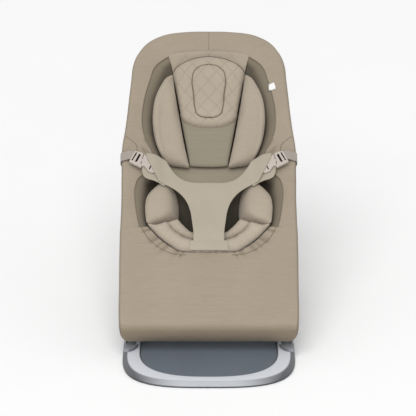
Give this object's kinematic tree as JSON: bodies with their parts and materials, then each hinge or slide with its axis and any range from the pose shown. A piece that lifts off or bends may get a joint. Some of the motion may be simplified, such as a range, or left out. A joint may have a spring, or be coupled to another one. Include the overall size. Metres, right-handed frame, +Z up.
{
  "type": "baby bouncer seat",
  "caption": "Baby bouncer seat: fabric sling with a padded insert and Y-shaped bib harness on a reclining tube frame, sprung over a flat base ring.",
  "frame": {"origin": "on the floor under the middle of the whole outline, seat fully upright", "axes": "+X to the right seen from the foot end, +Y from the foot end towards the head end, +Z up"},
  "size_m": [0.4534, 0.8236, 0.6439],
  "materials": {
    "satin_aluminium": "satin anodised",
    "slate_panel": "fine woven texture",
    "grip_rubber": "matt",
    "silver_plastic": "satin silver",
    "plated_steel": "zinc plated",
    "strut_tube": "satin black",
    "frame_tube": "satin black",
    "dark_plastic": "matt",
    "cover_fabric": "fine jersey",
    "insert_fabric": "quilted jersey",
    "lining_fabric": "3-D mesh lining",
    "bib_fabric": "smooth woven",
    "webbing": "25 mm woven webbing",
    "buckle_plastic": "satin moulded",
    "tag_white": "blank woven tag"
  },
  "bodies": {
    "base": {"base_ring": "satin_aluminium", "grip_strip": "grip_rubber", "base_panel": "slate_panel", "panel_stiffener": "satin_aluminium", "hinge_housing_left": "silver_plastic", "hinge_housing_right": "silver_plastic", "hinge_pin_left": "plated_steel", "hinge_pin_right": "plated_steel", "hinge_cap_left": "silver_plastic", "hinge_cap_right": "silver_plastic", "bump_stop_left": "grip_rubber", "bump_stop_right": "grip_rubber"},
    "spring_frame": {"spring_arm_left": "plated_steel", "spring_arm_right": "plated_steel", "strut_bearing_left": "dark_plastic", "strut_bearing_right": "dark_plastic"},
    "strut": {"strut_cross_tube": "strut_tube", "strut_leg_left": "strut_tube", "strut_leg_right": "strut_tube", "slide_pin_left": "plated_steel", "slide_pin_right": "plated_steel"},
    "seat": {"head_bow": "frame_tube", "foot_former": "dark_plastic", "cover_front_panel": "cover_fabric", "cover_head_panel": "cover_fabric", "seat_sling": "lining_fabric", "back_sling": "lining_fabric", "head_support": "insert_fabric", "head_pillow": "insert_fabric", "insert_top_flap": "insert_fabric", "insert_back_panel": "lining_fabric", "seat_pad": "lining_fabric", "thigh_roll": "insert_fabric", "crotch_sleeve": "bib_fabric", "side_tag": "tag_white", "side_tube_left": "frame_tube", "side_tube_right": "frame_tube", "recline_track_left": "plated_steel", "recline_track_right": "plated_steel", "seat_knuckle_left": "plated_steel", "seat_knuckle_right": "plated_steel", "insert_wing_left": "insert_fabric", "insert_wing_right": "insert_fabric", "hip_bolster_left": "insert_fabric", "hip_bolster_right": "insert_fabric", "side_strap_left": "webbing", "side_strap_right": "webbing", "buckle_male_left": "buckle_plastic", "buckle_male_right": "buckle_plastic"},
    "harness": {"harness_bib": "bib_fabric", "buckle_female_left": "buckle_plastic", "buckle_female_right": "buckle_plastic"},
    "prong_upper_left": {"prong_upper_left": "buckle_plastic"},
    "prong_upper_right": {"prong_upper_right": "buckle_plastic"},
    "prong_lower_left": {"prong_lower_left": "buckle_plastic"},
    "prong_lower_right": {"prong_lower_right": "buckle_plastic"},
    "release_lever_left": {"release_lever_left": "dark_plastic"},
    "release_lever_right": {"release_lever_right": "dark_plastic"}
  },
  "joints": [
    {"name": "bounce", "type": "hinge", "parent": "base", "child": "spring_frame", "pos_m": [0, -0.1898, 0.046], "axis": [1, 0, 0], "range_deg": [-2, 2], "stiffness_Nm_per_rad": 270, "springref_deg": 2.44},
    {"name": "recline", "type": "hinge", "parent": "spring_frame", "child": "seat", "pos_m": [0, -0.1898, 0.046], "axis": [-1, 0, 0], "range_deg": [0, 40]},
    {"name": "strut_swing", "type": "hinge", "parent": "spring_frame", "child": "strut", "pos_m": [0, 0.1502, 0.046], "axis": [-1, 0, 0], "range_deg": [0, 80]},
    {"name": "bib_open", "type": "hinge", "parent": "seat", "child": "harness", "pos_m": [0, -0.08201, 0.24769], "axis": [1, 0, 0], "range_deg": [0, 120]},
    {"name": "prong_upper_left_press", "type": "slide", "parent": "seat", "child": "prong_upper_left", "axis": [-0.6529, -0.5802, -0.4869], "range_m": [0, 0.0025], "stiffness_N_per_m": 800},
    {"name": "prong_lower_left_press", "type": "slide", "parent": "seat", "child": "prong_lower_left", "axis": [0.6529, 0.5802, 0.4869], "range_m": [0, 0.0025], "stiffness_N_per_m": 800},
    {"name": "release_left_press", "type": "hinge", "parent": "seat", "child": "release_lever_left", "pos_m": [-0.1945, 0.14692, 0.36416], "axis": [-1, 0, 0], "range_deg": [0, 20], "stiffness_Nm_per_rad": 0.4, "springref_deg": -5.73},
    {"name": "prong_upper_right_press", "type": "slide", "parent": "seat", "child": "prong_upper_right", "axis": [0.6529, -0.5802, -0.4869], "range_m": [0, 0.0025], "stiffness_N_per_m": 800},
    {"name": "prong_lower_right_press", "type": "slide", "parent": "seat", "child": "prong_lower_right", "axis": [-0.6529, 0.5802, 0.4869], "range_m": [0, 0.0025], "stiffness_N_per_m": 800},
    {"name": "release_right_press", "type": "hinge", "parent": "seat", "child": "release_lever_right", "pos_m": [0.1945, 0.14692, 0.36416], "axis": [-1, 0, 0], "range_deg": [0, 20], "stiffness_Nm_per_rad": 0.4, "springref_deg": -5.73}
  ],
  "couplings": [
    {"joint": "strut_swing", "follows": "recline", "ratio": 2},
    {"joint": "prong_lower_left_press", "follows": "prong_upper_left_press", "ratio": 1},
    {"joint": "prong_lower_right_press", "follows": "prong_upper_right_press", "ratio": 1}
  ]
}
